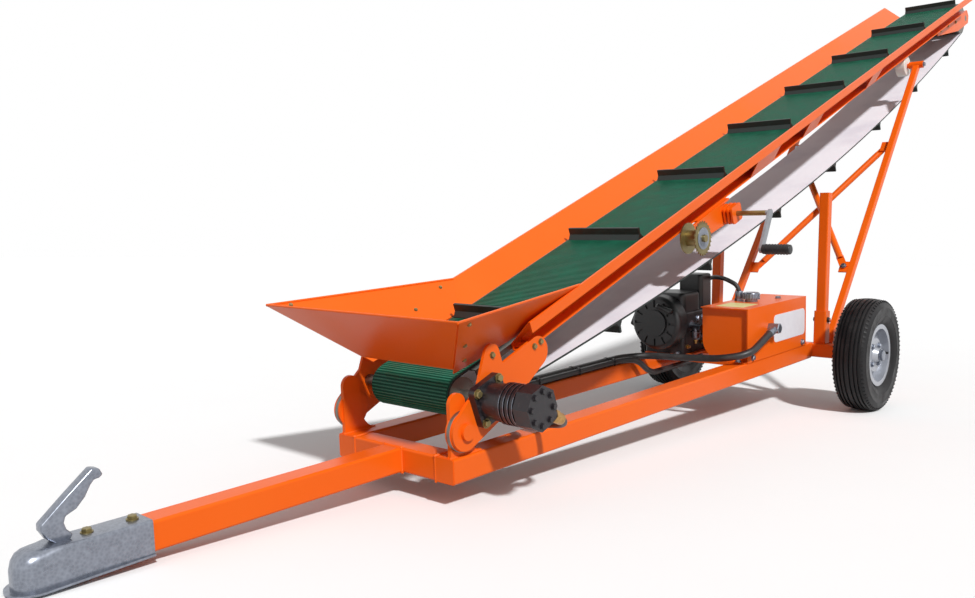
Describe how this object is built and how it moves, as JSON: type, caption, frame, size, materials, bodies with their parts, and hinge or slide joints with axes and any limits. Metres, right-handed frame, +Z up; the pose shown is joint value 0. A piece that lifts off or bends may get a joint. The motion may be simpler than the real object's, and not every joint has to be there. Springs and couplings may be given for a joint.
{
  "type": "firewood conveyor",
  "caption": "Towed firewood belt conveyor with a cleated belt in a flared trough, feed hopper, lift struts on the axle, ball coupling and engine-driven hydraulic drive.",
  "frame": {"origin": "centre of the bounding box's foot, on the ground", "axes": "+X from the ball coupling to the discharge end, +Z up, -Y the left side when towed"},
  "size_m": [4.9621, 0.9262, 1.9555],
  "materials": {
    "orange_paint": "satin",
    "zinc": "satin",
    "yellow_zinc": "satin",
    "belt": "matte",
    "drum": "satin",
    "slide": "satin",
    "black_iron": "satin",
    "engine": "satin",
    "black_plastic": "satin",
    "nylon": "satin",
    "tyre": "matte",
    "rim": "satin",
    "hose": "satin"
  },
  "bodies": {
    "chassis": {"side_rail_left": "orange_paint", "side_rail_right": "orange_paint", "front_cross_member": "orange_paint", "drawbar": "orange_paint", "axle_beam": "orange_paint", "coupling_body": "zinc", "coupling_handle": "zinc", "pivot_post_left": "orange_paint", "pivot_post_right": "orange_paint", "mast_socket_left": "orange_paint", "mast_left": "orange_paint", "mast_socket_right": "orange_paint", "mast_right": "orange_paint", "strut_clevis_left": "orange_paint", "strut_clevis_right": "orange_paint", "oil_tank": "orange_paint", "tank_cap": "zinc", "engine_base": "orange_paint", "engine_block": "engine", "recoil_cover": "black_plastic", "hydraulic_pump": "engine", "fuel_tank": "black_plastic", "air_filter": "black_plastic", "muffler": "black_iron", "pressure_hose": "hose", "return_hose": "hose", "arched_hose": "hose", "motor_pressure_hose": "hose", "motor_return_hose": "hose"},
    "conveyor": {"belt": "belt", "tail_drum": "drum", "head_drum": "drum", "slide_bed": "slide", "side_board_left": "orange_paint", "side_board_right": "orange_paint", "tail_plate_left": "orange_paint", "tail_plate_right": "orange_paint", "head_arm_left": "orange_paint", "head_arm_right": "orange_paint", "hopper_front": "orange_paint", "hopper_wing_left": "orange_paint", "hopper_wing_right": "orange_paint", "hydraulic_motor": "black_iron", "winch_frame": "orange_paint", "winch_drum": "yellow_zinc", "winch_crank": "yellow_zinc", "crank_grip": "black_plastic"},
    "lift_struts": {"lift_strut_left": "orange_paint", "lift_strut_right": "orange_paint", "track_roller_left": "nylon", "track_roller_right": "nylon", "cross_brace_upper": "orange_paint", "cross_brace_lower": "orange_paint"},
    "wheel_left": {"tyre_left": "tyre", "rim_left": "rim"},
    "wheel_right": {"tyre_right": "tyre", "rim_right": "rim"}
  },
  "joints": [
    {"name": "conveyor_lift", "type": "hinge", "parent": "chassis", "child": "conveyor", "pos_m": [-1.59281, 0, 0.17815], "axis": [0, -1, 0], "range_deg": [-4, 12], "deforming": ["motor_pressure_hose", "motor_return_hose"]},
    {"name": "strut_swing", "type": "hinge", "parent": "chassis", "child": "lift_struts", "pos_m": [0.45695, 0, 0.24322], "axis": [0, -1, 0], "range_deg": [-11, 31]},
    {"name": "wheel_left_roll", "type": "hinge", "parent": "chassis", "child": "wheel_left", "pos_m": [0.36191, -0.403, 0.2075], "axis": [0, 1, 0], "continuous": true},
    {"name": "wheel_right_roll", "type": "hinge", "parent": "chassis", "child": "wheel_right", "pos_m": [0.36191, 0.403, 0.2075], "axis": [0, 1, 0], "continuous": true}
  ],
  "couplings": [
    {"joint": "strut_swing", "follows": "conveyor_lift", "ratio": 2.4428}
  ]
}
